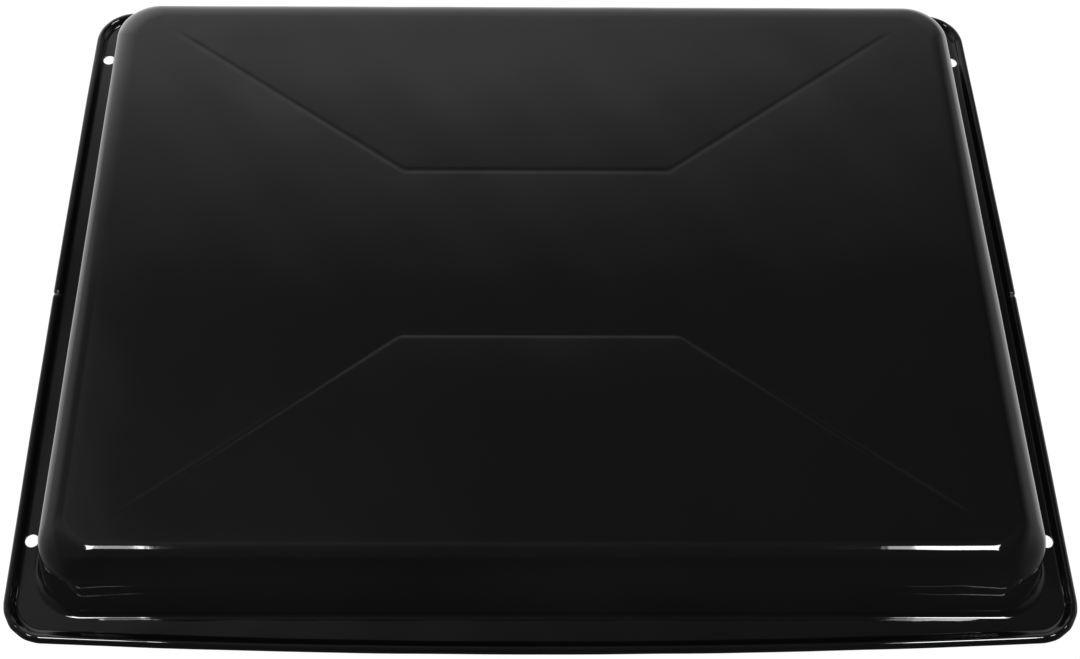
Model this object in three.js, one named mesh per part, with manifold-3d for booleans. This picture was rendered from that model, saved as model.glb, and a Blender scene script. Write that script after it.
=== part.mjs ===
// Roof vent cover for a caravan or motorhome.
//
// A shallow steel cover is drawn from one sheet. Its flange ends in a rim rolled round a wire,
// its crown is stiffened by two pressed grooves, and its rear wall is louvred to let air out.
// Inside the rear wall a riveted retainer holds the insect screen. Foam strips seal the flange.
//
// Millimetres. +X is across the cover, +Y points to the louvred rear and +Z is up.
// The origin lies on the roof plane, under the middle of the cover.

import * as THREE from "three";
import { mergeVertices } from "three/addons/utils/BufferGeometryUtils.js";
import Module from "manifold-3d";

const wasm = await Module();
wasm.setup();

// ---- driving dimensions ----

const WIDTH = 610; // flange, side to side at the corners
const DEPTH = 460; // flange, front to rear at the corners
const SIDE_BOW = 1.2; // outward bow at the middle of each side edge
const FRONT_BOW = 7.5; // outward bow at the middle of the front edge
const REAR_BOW = 4; // the same at the rear edge
const CORNER_R = 24; // outer corner of the flange in plan
const SHEET = 1; // steel thickness
const GAP = 0.3; // clearance between neighbouring pieces

const SEAL_THICKNESS = 5;
const FLANGE_TOP = SEAL_THICKNESS + GAP + SHEET;

const RIM_R = 2.8; // outside radius of the rolled rim
const RIM_LIFT = 0.6; // rim centre above the flange's upper face
const RIM_FILLET = 3; // hollow curve between flange and rim
const RIM_END_ANGLE = -40; // where the roll stops, from the inward direction
const WIRE_R = RIM_R - SHEET - GAP;
const NOTCH_WIDTH = 2.4;
const NOTCH_DEPTH = 0.6;

const DRAFT = THREE.MathUtils.degToRad(10.5); // lean of the walls
const WALL_INSET = 17.3; // wall face at flange level, from the flange edge
const BASE_FILLET = 5;
const CROWN_HEIGHT = 47; // crown above the flange
const CROWN_BEND = 18; // bend from wall to crown
const DOME_CORNER_R = 31; // dome corner in plan, where it leaves the flange
const DOME_CORNER_TAPER = 0.4; // loss of that radius per millimetre further in

const HOLE_R = 4;
const HOLE_X = 295;
const HOLE_FRONT_Y = -169.5;
const HOLE_REAR_Y = 189.5;

const GROOVE_OUTER = new THREE.Vector2(239, 174.5);
const GROOVE_INNER = new THREE.Vector2(83.5, 59.5);
const GROOVE_WIDTH = 8;
const GROOVE_DEPTH = 0.3;
const GROOVE_FLOOR_SHARE = 0.35; // flat floor, as a share of the groove's width

const LOUVRE_COUNT = 7;
const LOUVRE_PITCH = 66;
const LOUVRE_WIDTH = 48;
const LOUVRE_HEIGHT = 8;
const LOUVRE_MIDDLE = 17.4; // middle of the louvre row above the flange
const HOOD_SIZE = new THREE.Vector3(27, 6.5, 12); // half width, reach and rise

const PANEL_WIDTH = 478; // screen and retainer, across the rear wall
const PANEL_HEIGHT = 24;
const SCREEN_THICKNESS = 0.6;
const SCREEN_COLUMNS = 6; // openings across each louvre
const SCREEN_ROWS = 2;
const SCREEN_BAR = 1.2;
const RETAINER_THICKNESS = 1.2;
const WINDOW_WIDTH = 53;
const WINDOW_HEIGHT = 15;

const RIVET_SHANK_R = 1.6;
const RIVET_HEAD_R = 3.2;
const RIVET_HEAD_HEIGHT = 1.2;
const RIVET_HEAD_EDGE = 0.3; // straight side of the head, below its dome
const RIVET_HEAD_TOP_R = 1.9;
const RIVET_TAIL_R = 2.5;
const RIVET_TAIL_HEIGHT = 1.6;
const RIVET_TAIL_EDGE = 1.1;
const RIVET_TAIL_END_R = 1.25;

const SEAL_OUTER_INSET = 8.3;
const SEAL_INNER_INSET = 17;
const SEAL_NOTCH_HALF_WIDTH = HOLE_R + 1; // openings round the screws, open to the outside
const SEAL_NOTCH_HALF_LENGTH = 11;
const SEAL_JOINT = 0.6; // space between neighbouring strips
const SEAL_END_REACH = CORNER_R + 4; // how far the front and rear strips run round the corners

const ROUND_STEPS = 24; // sides of a drilled hole
const SPARE = 2; // extra size of a cutting shape, past the face that it cuts

// ---- mesh helpers ----

function toGeometry(points, triangles) {
  const geometry = new THREE.BufferGeometry();
  geometry.setAttribute("position", new THREE.Float32BufferAttribute(points.flat(), 3));
  geometry.setIndex(triangles.flat());
  return geometry;
}

function toSolid(geometry) {
  const bare = geometry.clone();
  bare.deleteAttribute("normal");
  bare.deleteAttribute("uv");
  const merged = mergeVertices(bare, 1e-4);
  return new wasm.Manifold(
    new wasm.Mesh({
      numProp: 3,
      vertProperties: new Float32Array(merged.attributes.position.array),
      triVerts: new Uint32Array(merged.index.array),
    }),
  );
}

function fromSolid(solid) {
  const mesh = solid.getMesh();
  const geometry = new THREE.BufferGeometry();
  geometry.setAttribute("position", new THREE.BufferAttribute(mesh.vertProperties, 3));
  geometry.setIndex(new THREE.BufferAttribute(mesh.triVerts, 1));
  return geometry;
}

function box(sizeX, sizeY, sizeZ, x, y, z) {
  return new THREE.BoxGeometry(sizeX, sizeY, sizeZ).translate(x, y, z);
}

function disc(radius, height, x, y, z) {
  const cylinder = new THREE.CylinderGeometry(radius, radius, height, ROUND_STEPS);
  return cylinder.rotateX(Math.PI / 2).translate(x, y, z);
}

// Points on a circular arc as [inset, height] pairs; angles in degrees from the inward direction.
function arc(inset, height, radius, fromAngle, toAngle, steps) {
  return Array.from({ length: steps + 1 }, (_, i) => {
    const angle = THREE.MathUtils.degToRad(fromAngle + ((toAngle - fromAngle) * i) / steps);
    return [inset + radius * Math.cos(angle), height + radius * Math.sin(angle)];
  });
}

// ---- plan outline ----

const CORNER_STEPS = 6;
const END_STEPS = 8;
const SIDE_STEPS = 4;

const rimFilletInset = RIM_R + Math.sqrt((RIM_R + RIM_FILLET) ** 2 - (RIM_FILLET - RIM_LIFT) ** 2);
const baseFilletInset = WALL_INSET - (BASE_FILLET * (1 - Math.sin(DRAFT))) / Math.cos(DRAFT);

// The outline runs parallel to the flange edge as far as the rim fillet. From the foot of the
// dome inwards its ends are straight and its corners are the dome's own.
function outlineAt(inset) {
  const onDome = inset > (rimFilletInset + baseFilletInset) / 2;
  return {
    radius: onDome
      ? DOME_CORNER_R - DOME_CORNER_TAPER * (inset - baseFilletInset)
      : CORNER_R - inset,
    bow: onDome ? 0 : 1,
  };
}

function bowed(x, y, halfX, halfY, share) {
  const alongX = Math.max(0, 1 - (x / halfX) ** 2) * Math.abs(y / halfY) ** 4;
  const alongY = Math.max(0, 1 - (y / halfY) ** 2) * Math.abs(x / halfX) ** 4;
  const endBow = y > 0 ? REAR_BOW : -FRONT_BOW;
  return [x + Math.sign(x) * SIDE_BOW * share * alongY, y + endBow * share * alongX];
}

// One closed loop at a given inset from the flange edge, counter-clockwise seen from above,
// starting at the middle of the right-hand side.
function planLoop(inset) {
  const { radius, bow } = outlineAt(inset);
  const halfX = WIDTH / 2 - inset;
  const halfY = DEPTH / 2 - inset;
  const corners = [
    [halfX - radius, halfY - radius, 0],
    [radius - halfX, halfY - radius, 90],
    [radius - halfX, radius - halfY, 180],
    [halfX - radius, radius - halfY, 270],
  ];
  const points = [];
  corners.forEach(([cornerX, cornerY, startAngle], index) => {
    for (let i = 0; i <= CORNER_STEPS; i += 1) {
      const angle = THREE.MathUtils.degToRad(startAngle + (90 * i) / CORNER_STEPS);
      points.push([cornerX + radius * Math.cos(angle), cornerY + radius * Math.sin(angle)]);
    }
    const steps = index % 2 === 0 ? END_STEPS : SIDE_STEPS;
    const [nextX, nextY] = corners[(index + 1) % 4];
    const last = points[points.length - 1];
    for (let i = 1; i < steps; i += 1) {
      const along = i / steps;
      points.push([
        last[0] + (nextX - cornerX) * along,
        last[1] + (nextY - cornerY) * along,
      ]);
    }
  });
  // Turn the list so that it starts in the middle of the right-hand side.
  const middle = points.length - SIDE_STEPS / 2;
  const turned = [...points.slice(middle), ...points.slice(0, middle)];
  return turned.map(([x, y]) => bowed(x, y, halfX, halfY, bow));
}

// Stack loops for a list of [inset, height] pairs and close both ends with a fan.
function stackedLoops(section) {
  const points = [];
  const triangles = [];
  section.forEach(([inset, height]) => {
    planLoop(inset).forEach(([x, y]) => points.push([x, y, height]));
  });
  const count = points.length / section.length;
  for (let row = 0; row < section.length - 1; row += 1) {
    for (let i = 0; i < count; i += 1) {
      const a = row * count + i;
      const b = row * count + ((i + 1) % count);
      triangles.push([a, b, b + count], [a, b + count, a + count]);
    }
  }
  const firstCentre = points.length;
  points.push([0, 0, section[0][1]]);
  points.push([0, 0, section[section.length - 1][1]]);
  const lastRow = (section.length - 1) * count;
  for (let i = 0; i < count; i += 1) {
    const next = (i + 1) % count;
    triangles.push([firstCentre, next, i]);
    triangles.push([firstCentre + 1, lastRow + i, lastRow + next]);
  }
  return toGeometry(points, triangles);
}

// ---- cover pan ----

const draftDegrees = THREE.MathUtils.radToDeg(DRAFT);
const rimAngle = THREE.MathUtils.radToDeg(
  Math.atan2(RIM_FILLET - RIM_LIFT, rimFilletInset - RIM_R),
);
const crownBendInset =
  WALL_INSET +
  (CROWN_BEND + (CROWN_HEIGHT - CROWN_BEND) * Math.sin(DRAFT)) / Math.cos(DRAFT);
const crownTop = FLANGE_TOP + CROWN_HEIGHT;
const rimMiddle = FLANGE_TOP + RIM_LIFT;

// The sheet's section from the free edge of the rolled rim to the crown. depth is 0 on the
// outside face and SHEET on the inside face.
function sheetSection(depth) {
  const filletMiddle = FLANGE_TOP + RIM_FILLET;
  const baseMiddle = FLANGE_TOP + BASE_FILLET;
  const bendMiddle = crownTop - CROWN_BEND;
  return [
    ...arc(RIM_R, rimMiddle, RIM_R - depth, RIM_END_ANGLE, rimAngle - 360, 10),
    ...arc(rimFilletInset, filletMiddle, RIM_FILLET + depth, 180 + rimAngle, 270, 3),
    ...arc(baseFilletInset, baseMiddle, BASE_FILLET + depth, 270, 360 - draftDegrees, 3),
    ...arc(crownBendInset, bendMiddle, CROWN_BEND - depth, 180 - draftDegrees, 90, 6),
  ];
}

function drawnSheet() {
  return toSolid(stackedLoops([...sheetSection(SHEET).reverse(), ...sheetSection(0)]));
}

// A straight bar from one plan point to another. It has its full width from the level top down
// to the level shoulder, and narrows from there to the level floor.
function grooveBar(from, to, width, top, shoulder, floor) {
  const direction = to.clone().sub(from).normalize();
  const across = new THREE.Vector2(-direction.y, direction.x);
  const half = width / 2;
  const floorHalf = half * GROOVE_FLOOR_SHARE;
  const profile = new THREE.Shape([
    new THREE.Vector2(-half, shoulder),
    new THREE.Vector2(-floorHalf, floor),
    new THREE.Vector2(floorHalf, floor),
    new THREE.Vector2(half, shoulder),
    new THREE.Vector2(half, top),
    new THREE.Vector2(-half, top),
  ]);
  const geometry = new THREE.ExtrudeGeometry(profile, {
    depth: from.distanceTo(to),
    bevelEnabled: false,
  });
  const basis = new THREE.Matrix4().makeBasis(
    new THREE.Vector3(across.x, across.y, 0),
    new THREE.Vector3(0, 0, 1),
    new THREE.Vector3(direction.x, direction.y, 0),
  );
  basis.setPosition(from.x, from.y, 0);
  return geometry.applyMatrix4(basis);
}

// Bars along the three straight stretches of both grooves.
function grooveBars(width, top, shoulder, floor) {
  const solids = [];
  [-1, 1].forEach((side) => {
    const corners = [
      new THREE.Vector2(-GROOVE_OUTER.x, side * GROOVE_OUTER.y),
      new THREE.Vector2(-GROOVE_INNER.x, side * GROOVE_INNER.y),
      new THREE.Vector2(GROOVE_INNER.x, side * GROOVE_INNER.y),
      new THREE.Vector2(GROOVE_OUTER.x, side * GROOVE_OUTER.y),
    ];
    corners.slice(1).forEach((corner, i) => {
      solids.push(toSolid(grooveBar(corners[i], corner, width, top, shoulder, floor)));
    });
  });
  return solids;
}

const rearWallY = DEPTH / 2 - WALL_INSET;

// Puts a shape that was built flat (x across, y up the wall, z outwards) on the rear wall.
function ontoRearWall(geometry) {
  const up = new THREE.Vector3(0, -Math.sin(DRAFT), Math.cos(DRAFT));
  const outwards = new THREE.Vector3(0, Math.cos(DRAFT), Math.sin(DRAFT));
  const across = new THREE.Vector3().crossVectors(up, outwards);
  const basis = new THREE.Matrix4().makeBasis(across, up, outwards);
  const lean = LOUVRE_MIDDLE * Math.tan(DRAFT);
  basis.setPosition(0, rearWallY - lean, FLANGE_TOP + LOUVRE_MIDDLE);
  return geometry.applyMatrix4(basis);
}

function louvreX(index) {
  return (index - (LOUVRE_COUNT - 1) / 2) * LOUVRE_PITCH;
}

function louvreHood(index) {
  const dome = (inset) =>
    new THREE.SphereGeometry(1, 12, 6)
      .scale(HOOD_SIZE.x - inset, HOOD_SIZE.z - inset, HOOD_SIZE.y - inset)
      .translate(louvreX(index), -LOUVRE_HEIGHT / 2, 0);
  const outer = toSolid(ontoRearWall(dome(0)));
  const inner = toSolid(ontoRearWall(dome(SHEET)));
  // The part of the shell above the slot's lower edge and outside the wall's inside face.
  const across = 2 * (HOOD_SIZE.x + SPARE);
  const rise = HOOD_SIZE.z + SPARE;
  const reach = HOOD_SIZE.y + SPARE;
  const middleUp = (rise - LOUVRE_HEIGHT) / 2;
  const middleOut = (reach - SHEET) / 2;
  const kept = box(across, rise, reach, louvreX(index), middleUp, middleOut);
  return outer.subtract(inner).intersect(toSolid(ontoRearWall(kept)));
}

// A shallow notch across the upper half of the rolled rim, in the middle of a side.
function rimNotch(side) {
  const inner = RIM_R - NOTCH_DEPTH;
  const outer = RIM_R + SPARE;
  const half = NOTCH_WIDTH / 2;
  const section = [
    [inner, -half],
    [outer, -half],
    [outer, half],
    [inner, half],
    [inner, -half],
  ];
  const points = section.map(([r, h]) => new THREE.Vector2(r, h));
  const rimX = side * (WIDTH / 2 + SIDE_BOW - RIM_R);
  const ring = new THREE.LatheGeometry(points, ROUND_STEPS).translate(rimX, 0, rimMiddle);
  const size = 2 * outer;
  const aboveFlange = box(size, NOTCH_WIDTH + SPARE, size, rimX, 0, FLANGE_TOP + size / 2);
  return toSolid(ring).intersect(toSolid(aboveFlange));
}

function rivetX(index) {
  return (index - LOUVRE_COUNT / 2) * LOUVRE_PITCH;
}

const rivetIndices = Array.from({ length: LOUVRE_COUNT + 1 }, (_, i) => i);
const louvreIndices = Array.from({ length: LOUVRE_COUNT }, (_, i) => i);
const holePlaces = [
  [-HOLE_X, HOLE_FRONT_Y],
  [HOLE_X, HOLE_FRONT_Y],
  [-HOLE_X, HOLE_REAR_Y],
  [HOLE_X, HOLE_REAR_Y],
];

function coverPan() {
  let pan = drawnSheet();
  const sheetMiddle = crownTop - SHEET / 2;
  const sheetUnderside = crownTop - SHEET;
  const ridgeWidth = GROOVE_WIDTH + SHEET;
  const ridges = grooveBars(ridgeWidth, crownTop, sheetMiddle, sheetUnderside - GROOVE_DEPTH);
  ridges.forEach((ridge) => {
    pan = pan.add(ridge);
  });
  const grooves = grooveBars(GROOVE_WIDTH, crownTop + SPARE, crownTop, crownTop - GROOVE_DEPTH);
  grooves.forEach((groove) => {
    pan = pan.subtract(groove);
  });
  const wallDepth = SHEET + 2 * SPARE;
  louvreIndices.forEach((index) => {
    const slot = box(LOUVRE_WIDTH, LOUVRE_HEIGHT, wallDepth, louvreX(index), 0, -SHEET / 2);
    pan = pan.subtract(toSolid(ontoRearWall(slot)));
    pan = pan.add(louvreHood(index));
  });
  rivetIndices.forEach((index) => {
    const hole = disc(RIVET_SHANK_R + GAP, wallDepth, rivetX(index), 0, -SHEET / 2);
    pan = pan.subtract(toSolid(ontoRearWall(hole)));
  });
  holePlaces.forEach(([x, y]) => {
    pan = pan.subtract(toSolid(disc(HOLE_R, 4 * SPARE, x, y, FLANGE_TOP)));
  });
  [-1, 1].forEach((side) => {
    pan = pan.subtract(rimNotch(side));
  });
  return fromSolid(pan);
}

// ---- rim wires ----

// A half ring of wire inside the rolled rim, from the left notch to the right notch.
function rimWire(towardsRear) {
  const section = arc(RIM_R, rimMiddle, WIRE_R, 0, 315, 7); // eight sides
  const loops = section.map(([inset, height]) => planLoop(inset).map(([x, y]) => [x, y, height]));
  const count = loops[0].length;
  const half = count / 2;
  const start = towardsRear ? 0 : half;
  const stops = Array.from({ length: half + 1 }, (_, i) => (start + i) % count);
  const points = [];
  stops.forEach((stop, index) => {
    const atEnd = index === 0 || index === half;
    const keepBack = atEnd ? (towardsRear ? 1 : -1) * NOTCH_WIDTH : 0;
    loops.forEach((loop) => points.push([loop[stop][0], loop[stop][1] + keepBack, loop[stop][2]]));
  });
  const sides = section.length;
  const triangles = [];
  for (let row = 0; row < half; row += 1) {
    for (let i = 0; i < sides; i += 1) {
      const a = row * sides + i;
      const b = row * sides + ((i + 1) % sides);
      triangles.push([a, b, b + sides], [a, b + sides, a + sides]);
    }
  }
  for (let i = 1; i < sides - 1; i += 1) {
    triangles.push([0, i + 1, i]);
    triangles.push([half * sides, half * sides + i, half * sides + i + 1]);
  }
  return toGeometry(points, triangles);
}

// ---- screen, retainer and rivets ----

// A flat panel parallel to the rear wall whose outer face lies the given distance inside it.
// openings lists [middle x, middle y, width, height].
function wallPanel(openings, thickness, distance) {
  const depth = -distance - thickness / 2;
  let panel = toSolid(box(PANEL_WIDTH, PANEL_HEIGHT, thickness, 0, 0, depth));
  openings.forEach(([x, y, width, height]) => {
    panel = panel.subtract(toSolid(box(width, height, 2 * thickness, x, y, depth)));
  });
  rivetIndices.forEach((index) => {
    const clearance = disc(RIVET_SHANK_R + GAP, 2 * thickness, rivetX(index), 0, depth);
    panel = panel.subtract(toSolid(clearance));
  });
  return ontoRearWall(fromSolid(panel));
}

const screenDistance = SHEET + GAP;
const retainerDistance = screenDistance + SCREEN_THICKNESS + GAP;

function insectScreen() {
  const openings = [];
  const stepX = WINDOW_WIDTH / SCREEN_COLUMNS;
  const stepY = WINDOW_HEIGHT / SCREEN_ROWS;
  louvreIndices.forEach((index) => {
    for (let column = 0; column < SCREEN_COLUMNS; column += 1) {
      for (let row = 0; row < SCREEN_ROWS; row += 1) {
        const x = louvreX(index) + (column + 0.5 - SCREEN_COLUMNS / 2) * stepX;
        const y = (row + 0.5 - SCREEN_ROWS / 2) * stepY;
        openings.push([x, y, stepX - SCREEN_BAR, stepY - SCREEN_BAR]);
      }
    }
  });
  return wallPanel(openings, SCREEN_THICKNESS, screenDistance);
}

function screenRetainer() {
  const windows = louvreIndices.map((index) => [louvreX(index), 0, WINDOW_WIDTH, WINDOW_HEIGHT]);
  return wallPanel(windows, RETAINER_THICKNESS, retainerDistance);
}

// A rivet from its pulled tail, inside, to its domed head, outside.
function rivet(index) {
  const headFace = GAP;
  const tailFace = -(retainerDistance + RETAINER_THICKNESS + GAP);
  const profile = [
    [0, tailFace - RIVET_TAIL_HEIGHT],
    [RIVET_TAIL_END_R, tailFace - RIVET_TAIL_HEIGHT],
    [RIVET_TAIL_R, tailFace - RIVET_TAIL_EDGE],
    [RIVET_TAIL_R, tailFace],
    [RIVET_SHANK_R, tailFace],
    [RIVET_SHANK_R, headFace],
    [RIVET_HEAD_R, headFace],
    [RIVET_HEAD_R, headFace + RIVET_HEAD_EDGE],
    [RIVET_HEAD_TOP_R, headFace + RIVET_HEAD_HEIGHT],
    [0, headFace + RIVET_HEAD_HEIGHT],
  ];
  const points = profile.map(([r, h]) => new THREE.Vector2(r, h));
  const lathe = new THREE.LatheGeometry(points, ROUND_STEPS / 2);
  return ontoRearWall(lathe.rotateX(Math.PI / 2).translate(rivetX(index), 0, 0));
}

// ---- seal strips ----

function sealRing() {
  const toShape = (inset) => planLoop(inset).map(([x, y]) => new THREE.Vector2(x, y));
  const shape = new THREE.Shape(toShape(SEAL_OUTER_INSET));
  shape.holes = [new THREE.Path(toShape(SEAL_INNER_INSET))];
  const extrusion = { depth: SEAL_THICKNESS, bevelEnabled: false };
  let ring = toSolid(new THREE.ExtrudeGeometry(shape, extrusion));
  const notchWidth = 2 * SEAL_NOTCH_HALF_WIDTH;
  const notchLength = 2 * SEAL_NOTCH_HALF_LENGTH;
  holePlaces.forEach(([x, y]) => {
    ring = ring.subtract(toSolid(box(notchWidth, notchLength, 3 * SEAL_THICKNESS, x, y, 0)));
  });
  return ring;
}

// The front and rear strips run the full width; the side strips fit between them.
function sealStrip(ring, place) {
  const height = 3 * SEAL_THICKNESS;
  const sideReach = DEPTH / 2 - SEAL_END_REACH - SEAL_JOINT;
  const areas = {
    front: box(2 * WIDTH, DEPTH, height, 0, SEAL_END_REACH - DEPTH, 0),
    rear: box(2 * WIDTH, DEPTH, height, 0, DEPTH - SEAL_END_REACH, 0),
    left: box(WIDTH, 2 * sideReach, height, -WIDTH / 2, 0, 0),
    right: box(WIDTH, 2 * sideReach, height, WIDTH / 2, 0, 0),
  };
  return fromSolid(ring.intersect(toSolid(areas[place])));
}

// ---- materials and assembly ----

function finish(color, roughness, metalness) {
  return () => new THREE.MeshStandardMaterial({ color, roughness, metalness });
}

const enamel = finish(0x0c0c0d, 0.12, 0);
const zincWire = finish(0x9c9fa3, 0.4, 1);
const stainlessMesh = finish(0xa9abad, 0.35, 1);
const aluminium = finish(0xb9bbbd, 0.35, 1);
const blackFoam = finish(0x1d1d1e, 0.95, 0);

// The front edge bows out further than the rear one, so the cover is moved back to stand
// centred on the origin.
const cover = new THREE.Group();
cover.position.y = (FRONT_BOW - REAR_BOW) / 2;

function addPiece(name, geometry, material) {
  const mesh = new THREE.Mesh(geometry, material());
  mesh.name = name;
  cover.add(mesh);
}

addPiece("cover_pan", coverPan(), enamel);
addPiece("rim_wire_front", rimWire(false), zincWire);
addPiece("rim_wire_rear", rimWire(true), zincWire);
addPiece("insect_screen", insectScreen(), stainlessMesh);
addPiece("screen_retainer", screenRetainer(), enamel);
rivetIndices.forEach((index) => {
  addPiece(`screen_rivet_${index + 1}`, rivet(index), aluminium);
});
const seal = sealRing();
["front", "rear", "left", "right"].forEach((place) => {
  addPiece(`seal_strip_${place}`, sealStrip(seal, place), blackFoam);
});

export default cover;
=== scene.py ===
"""Looks of the roof vent cover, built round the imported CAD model.

The pan is one pressed sheet: a rim rolled round a wire, a narrow flange, drafted walls with a
louvred rear, and a crown stiffened by two grooves. The screen, retainer, rivets, wires and foam
strips are fine versions of their CAD nodes. Shapes are made in millimetres and scaled to metres.
"""

import math

import bmesh
import bpy
import numpy as np
from mathutils import Matrix, Vector
from mathutils.geometry import delaunay_2d_cdt


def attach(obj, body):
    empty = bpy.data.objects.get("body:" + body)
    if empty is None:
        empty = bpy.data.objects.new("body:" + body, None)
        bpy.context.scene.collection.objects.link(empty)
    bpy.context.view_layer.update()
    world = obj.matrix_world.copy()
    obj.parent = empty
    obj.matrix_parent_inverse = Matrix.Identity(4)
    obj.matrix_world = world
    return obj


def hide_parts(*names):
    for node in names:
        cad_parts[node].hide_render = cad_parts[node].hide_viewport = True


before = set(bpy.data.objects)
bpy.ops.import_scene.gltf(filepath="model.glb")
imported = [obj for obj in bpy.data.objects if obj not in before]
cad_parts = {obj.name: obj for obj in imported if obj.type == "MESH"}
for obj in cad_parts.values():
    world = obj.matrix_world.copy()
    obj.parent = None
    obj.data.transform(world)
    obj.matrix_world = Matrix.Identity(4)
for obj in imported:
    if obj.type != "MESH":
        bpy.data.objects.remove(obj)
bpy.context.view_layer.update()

MM = 0.001

# ---- driving dimensions, in millimetres, as in the CAD source ----

WIDTH = 610.0
DEPTH = 460.0
SIDE_BOW = 1.2
FRONT_BOW = 7.5
REAR_BOW = 4.0
CORNER_R = 24.0
SHEET = 1.0
GAP = 0.3
SHIFT_Y = (FRONT_BOW - REAR_BOW) / 2

SEAL_THICKNESS = 5.0
FLANGE_TOP = SEAL_THICKNESS + GAP + SHEET

RIM_R = 2.8
RIM_LIFT = 0.6
RIM_FILLET = 3.0
RIM_END_ANGLE = -40.0
WIRE_R = RIM_R - SHEET - GAP
NOTCH_Y = -3.0
NOTCH_WIDTH = 2.4
NOTCH_DEPTH = 0.6

DRAFT = math.radians(10.5)
WALL_INSET = 17.3
BASE_FILLET = 5.0
CROWN_HEIGHT = 47.0
CROWN_BEND = 18.0
CROWN_TOP = FLANGE_TOP + CROWN_HEIGHT
DOME_CORNER_R = 31.0
DOME_CORNER_TAPER = 0.4

HOLE_R = 4.0
HOLE_X = 295.0
HOLE_FRONT_Y = -169.5
HOLE_REAR_Y = 189.5
HOLES = [(x, y) for x in (-HOLE_X, HOLE_X) for y in (HOLE_FRONT_Y, HOLE_REAR_Y)]

LOUVRE_COUNT = 7
LOUVRE_PITCH = 66.0
LOUVRE_HEIGHT = 8.0
LOUVRE_MIDDLE = 17.4

PANEL_WIDTH = 478.0
PANEL_HEIGHT = 24.0
SCREEN_THICKNESS = 0.6
RETAINER_THICKNESS = 1.2
WINDOW_WIDTH = 53.0
WINDOW_HEIGHT = 15.0

RIVET_SHANK_R = 1.6
RIVET_HEAD_R = 3.2
RIVET_HEAD_HEIGHT = 1.2
RIVET_TAIL_R = 2.5
RIVET_TAIL_HEIGHT = 1.6

SEAL_OUTER_INSET = 8.3
SEAL_INNER_INSET = 17.0
SEAL_NOTCH_HALF_WIDTH = HOLE_R + 1
SEAL_NOTCH_HALF_LENGTH = 11.0

RIM_FILLET_INSET = RIM_R + math.sqrt((RIM_R + RIM_FILLET) ** 2 - (RIM_FILLET - RIM_LIFT) ** 2)
RIM_ANGLE = math.degrees(math.atan2(RIM_FILLET - RIM_LIFT, RIM_FILLET_INSET - RIM_R))
BASE_FILLET_INSET = WALL_INSET - BASE_FILLET * (1 - math.sin(DRAFT)) / math.cos(DRAFT)
CROWN_BEND_INSET = WALL_INSET + (
    CROWN_BEND + (CROWN_HEIGHT - CROWN_BEND) * math.sin(DRAFT)
) / math.cos(DRAFT)

# ---- mesh helpers ----


def new_object(name, points, faces):
    """A mesh object from points in millimetres, moved and scaled into the CAD frame."""
    placed = (np.asarray(points, float) + (0.0, SHIFT_Y, 0.0)) * MM
    mesh = bpy.data.meshes.new(name)
    mesh.from_pydata(placed.tolist(), [], faces)
    mesh.validate()
    obj = bpy.data.objects.new(name, mesh)
    bpy.context.scene.collection.objects.link(obj)
    return obj


def face_outwards(obj, merge_distance=0.0):
    """Makes every face of a closed mesh point out, after joining points within the distance."""
    work = bmesh.new()
    work.from_mesh(obj.data)
    if merge_distance:
        bmesh.ops.remove_doubles(work, verts=work.verts, dist=merge_distance)
    bmesh.ops.recalc_face_normals(work, faces=work.faces)
    work.to_mesh(obj.data)
    work.free()


def evaluated_mesh(obj):
    """A new mesh with the evaluated shape of obj, modifiers included."""
    depsgraph = bpy.context.evaluated_depsgraph_get()
    return bpy.data.meshes.new_from_object(obj.evaluated_get(depsgraph))


def apply_modifiers(obj):
    """Turns the evaluated shape of obj into its mesh."""
    mesh = evaluated_mesh(obj)
    obj.modifiers.clear()
    obj.data = mesh
    return obj


def cut(obj, cutter):
    """Takes the closed shape of cutter out of obj, and deletes cutter."""
    boolean = obj.modifiers.new("cut", "BOOLEAN")
    boolean.operation = "DIFFERENCE"
    boolean.solver = "MANIFOLD"
    boolean.object = cutter
    apply_modifiers(obj)
    bpy.data.objects.remove(cutter)


def shade_smooth(obj, sharp_degrees):
    """Smooth shading that keeps edges sharper than the angle."""
    obj.data.polygons.foreach_set("use_smooth", [True] * len(obj.data.polygons))
    obj.data.set_sharp_from_angle(angle=math.radians(sharp_degrees))


def ring_faces(rows, columns):
    """Quads between rows of points whose columns close on themselves, in row-major order."""
    faces = []
    for row in range(rows - 1):
        below = row * columns
        above = below + columns
        for i in range(columns):
            j = (i + 1) % columns
            faces.append((below + i, below + j, above + j, above + i))
    return faces


def tube_faces(rows, sides):
    """The faces of a tube of rows of points, with a flat face at both ends."""
    last = (rows - 1) * sides
    first_end = tuple(reversed(range(sides)))
    last_end = tuple(range(last, last + sides))
    return ring_faces(rows, sides) + [first_end, last_end]


def swept_wire(points, radius, sides):
    """Points and faces of a round wire along an open line of points."""
    line = np.asarray(points, float)
    along = np.gradient(line, axis=0)
    along /= np.linalg.norm(along, axis=1)[:, None]
    upright = abs(along[0][2]) > 0.8
    reference = np.array([1.0, 0.0, 0.0]) if upright else np.array([0.0, 0.0, 1.0])
    across = np.cross(along, reference)
    across /= np.linalg.norm(across, axis=1)[:, None]
    upward = np.cross(across, along)
    angles = np.arange(sides) * 2 * math.pi / sides
    rings = (
        line[:, None, :]
        + radius * np.cos(angles)[None, :, None] * across[:, None, :]
        + radius * np.sin(angles)[None, :, None] * upward[:, None, :]
    )
    return rings.reshape(-1, 3), tube_faces(len(line), sides)


def circle(radius, height, segments):
    """Points of a level circle round the Z axis, counter-clockwise."""
    angles = [2 * math.pi * i / segments for i in range(segments)]
    return [(radius * math.cos(a), radius * math.sin(a), height) for a in angles]


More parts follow.
